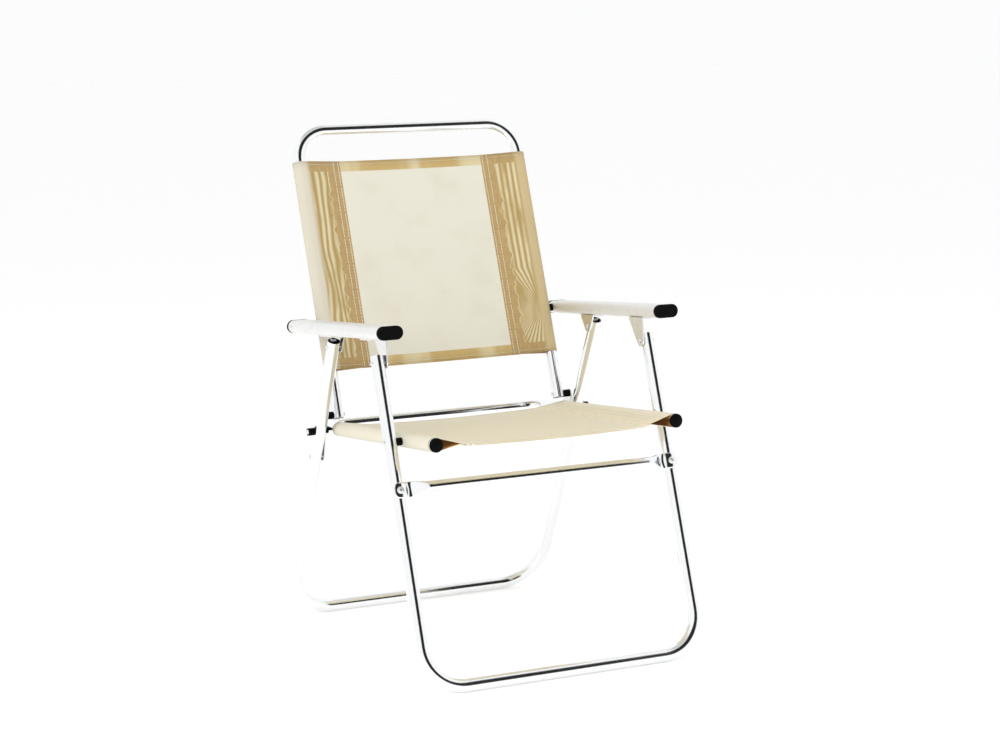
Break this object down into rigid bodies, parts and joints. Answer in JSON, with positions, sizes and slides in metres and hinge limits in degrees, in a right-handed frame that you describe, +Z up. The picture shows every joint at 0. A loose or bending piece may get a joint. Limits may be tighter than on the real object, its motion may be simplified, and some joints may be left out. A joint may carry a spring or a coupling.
{
  "type": "folding camp chair",
  "caption": "Folding camp chair with a bent aluminium tube frame, flat-oval armrests and stretched mesh seat and back slings on sleeved side tubes.",
  "frame": {"origin": "on the floor under the middle of the unfolded chair's bounding box", "axes": "+Z up, the front of the chair faces -Y, +X is the sitter's left as they sit"},
  "size_m": [0.5548, 0.625, 0.8775],
  "materials": {
    "polished_aluminium": "polished and lightly brushed along the tube",
    "rivet_aluminium": "satin domed rivet heads",
    "black_plastic": "moulded, satin",
    "mesh_fabric": "coated woven mesh, cream"
  },
  "bodies": {
    "rear_legs": {"rear_leg_frame": "polished_aluminium", "rear_leg_pivot_rivets": "rivet_aluminium", "link_pivot_rivets": "rivet_aluminium", "stop_blocks": "black_plastic", "stop_buffers": "black_plastic", "stop_rivets": "rivet_aluminium"},
    "left_armrest": {"left_armrest_tube": "polished_aluminium", "left_armrest_front_cap": "black_plastic", "left_armrest_rear_cap": "black_plastic", "left_front_bracket": "polished_aluminium", "left_rear_bracket": "polished_aluminium", "left_bracket_rivets": "rivet_aluminium", "left_armrest_back_rivet": "rivet_aluminium", "left_armrest_spacer": "black_plastic"},
    "right_armrest": {"right_armrest_tube": "polished_aluminium", "right_armrest_front_cap": "black_plastic", "right_armrest_rear_cap": "black_plastic", "right_front_bracket": "polished_aluminium", "right_rear_bracket": "polished_aluminium", "right_bracket_rivets": "rivet_aluminium", "right_armrest_back_rivet": "rivet_aluminium", "right_armrest_spacer": "black_plastic"},
    "front_legs": {"front_leg_frame": "polished_aluminium", "front_leg_pivot_rivets": "rivet_aluminium", "seat_front_rivets": "rivet_aluminium", "seat_front_spacers": "black_plastic", "front_crossbar": "polished_aluminium", "crossbar_rivets": "rivet_aluminium"},
    "left_link": {"left_link_plate": "polished_aluminium"},
    "right_link": {"right_link_plate": "polished_aluminium"},
    "seat": {"seat_frame": "polished_aluminium", "seat_frame_caps": "black_plastic", "seat_rear_rivets": "rivet_aluminium", "seat_rear_spacers": "black_plastic", "seat_sling": "mesh_fabric"},
    "back": {"back_frame": "polished_aluminium", "back_pivot_rivets": "rivet_aluminium", "back_pivot_spacers": "black_plastic", "back_sling": "mesh_fabric"}
  },
  "joints": [
    {"name": "left_armrest_fold", "type": "hinge", "parent": "rear_legs", "child": "left_armrest", "pos_m": [-0.237, 0.0585, 0.5172], "axis": [-1, 0, 0], "range_deg": [0, 59.64]},
    {"name": "right_armrest_fold", "type": "hinge", "parent": "rear_legs", "child": "right_armrest", "pos_m": [0.237, 0.0585, 0.5172], "axis": [-1, 0, 0], "range_deg": [0, 59.64]},
    {"name": "front_legs_fold", "type": "hinge", "parent": "left_armrest", "child": "front_legs", "pos_m": [-0.237, -0.1301, 0.5134], "axis": [1, 0, 0], "range_deg": [0, 102.72]},
    {"name": "left_link_fold", "type": "hinge", "parent": "rear_legs", "child": "left_link", "pos_m": [-0.237, 0.1505, 0.31472], "axis": [-1, 0, 0], "range_deg": [0, 134.68]},
    {"name": "right_link_fold", "type": "hinge", "parent": "rear_legs", "child": "right_link", "pos_m": [0.237, 0.1505, 0.31472], "axis": [-1, 0, 0], "range_deg": [0, 134.68]},
    {"name": "seat_fold", "type": "hinge", "parent": "left_link", "child": "seat", "pos_m": [-0.237, 0.1529, 0.3616], "axis": [1, 0, 0], "range_deg": [0, 80.85]},
    {"name": "back_fold", "type": "hinge", "parent": "left_link", "child": "back", "pos_m": [-0.237, 0.1327, 0.3872], "axis": [1, 0, 0], "range_deg": [0, 181.72]}
  ],
  "couplings": [
    {"joint": "right_armrest_fold", "follows": "left_armrest_fold", "ratio": 1},
    {"joint": "front_legs_fold", "follows": "left_armrest_fold", "ratio": 1.7223},
    {"joint": "left_link_fold", "follows": "left_armrest_fold", "ratio": 2.2582},
    {"joint": "right_link_fold", "follows": "left_armrest_fold", "ratio": 2.2582},
    {"joint": "seat_fold", "follows": "left_armrest_fold", "ratio": 1.3556},
    {"joint": "back_fold", "follows": "left_armrest_fold", "ratio": 3.0469}
  ]
}
